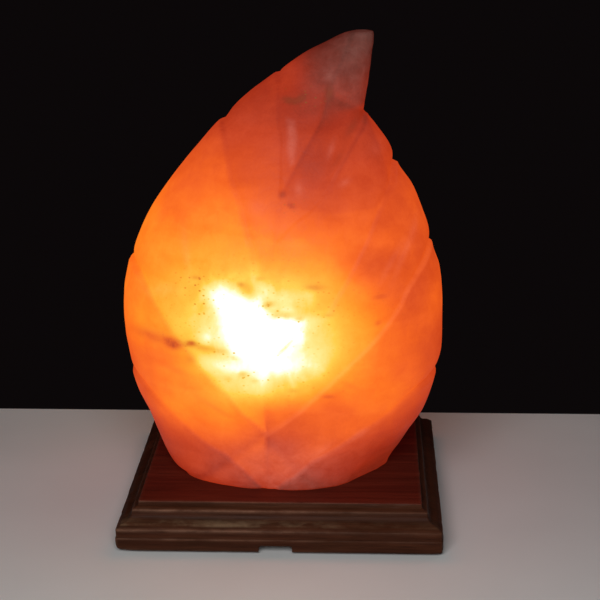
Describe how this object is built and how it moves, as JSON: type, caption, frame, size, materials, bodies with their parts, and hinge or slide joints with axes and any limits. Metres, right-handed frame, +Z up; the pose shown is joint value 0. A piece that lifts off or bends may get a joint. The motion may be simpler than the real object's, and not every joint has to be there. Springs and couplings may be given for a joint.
{
  "type": "salt crystal lamp",
  "caption": "Carved leaf-shaped salt crystal lamp on a square moulded wood plinth, with a pull-out screw-base lamp holder and bulb inside the crystal.",
  "frame": {"origin": "centre of the footprint, on the surface that the lamp stands on", "axes": "+Z up, -Y the front face that the cord channel's notch and the picture show, +X to the right seen from the front"},
  "size_m": [0.1581, 0.155, 0.2365],
  "materials": {
    "salt_crystal": "matte",
    "stained_wood": "satin",
    "zinc_steel": "satin",
    "grey_nylon": "matte",
    "black_felt": "matte",
    "white_plastic": "satin",
    "steatite": "matte",
    "brass_plate": "satin",
    "bronze_strip": "satin",
    "spring_steel": "satin",
    "solder": "satin",
    "black_vitrite": "gloss",
    "nickel_brass": "satin",
    "cap_cement": "matte",
    "clear_glass": "gloss",
    "nickel_wire": "satin",
    "tungsten": "satin"
  },
  "bodies": {
    "lamp_base": {"wood_plinth": "stained_wood", "salt_leaf": "salt_crystal", "salt_screws": "zinc_steel", "screw_washers": "zinc_steel", "salt_anchors": "grey_nylon", "foot_pads": "black_felt"},
    "holder": {"holder_cap": "white_plastic", "holder_housing": "white_plastic", "holder_insert": "steatite", "holder_screw_shell": "brass_plate", "centre_contact": "bronze_strip", "side_contact": "bronze_strip", "terminal_blocks": "brass_plate", "terminal_screws": "zinc_steel", "clip_collar": "spring_steel"},
    "wing_right": {"clip_wing_right": "spring_steel"},
    "wing_left": {"clip_wing_left": "spring_steel"},
    "bulb_tip": {"bulb_tip_contact": "solder"},
    "bulb": {"bulb_cap_shell": "nickel_brass", "bulb_cap_insulator": "black_vitrite", "bulb_cap_cement": "cap_cement", "bulb_glass": "clear_glass", "bulb_stem": "clear_glass", "bulb_lead_wires": "nickel_wire", "bulb_support_wires": "nickel_wire", "bulb_filament": "tungsten"}
  },
  "joints": [
    {"name": "holder_pull", "type": "slide", "parent": "lamp_base", "child": "holder", "axis": [0, 0, -1], "range_m": [0, 0.11]},
    {"name": "wing_right_fold", "type": "hinge", "parent": "holder", "child": "wing_right", "pos_m": [0.0122, 0, 0.04], "axis": [0, 1, 0], "range_deg": [0, 20], "stiffness_Nm_per_rad": 0.3, "springref_deg": -22.92},
    {"name": "wing_left_fold", "type": "hinge", "parent": "holder", "child": "wing_left", "pos_m": [-0.0202, 0, 0.04], "axis": [0, -1, 0], "range_deg": [0, 20], "stiffness_Nm_per_rad": 0.3, "springref_deg": -22.92},
    {"name": "bulb_lift", "type": "slide", "parent": "holder", "child": "bulb_tip", "axis": [0, 0, 1], "range_m": [0, 0.01412]},
    {"name": "bulb_turn", "type": "hinge", "parent": "bulb_tip", "child": "bulb", "pos_m": [-0.004, 0, 0.06], "axis": [0, 0, 1], "range_deg": [0, 1800]}
  ],
  "couplings": [
    {"joint": "bulb_lift", "follows": "bulb_turn", "m_per_rad": 0.00044913}
  ]
}
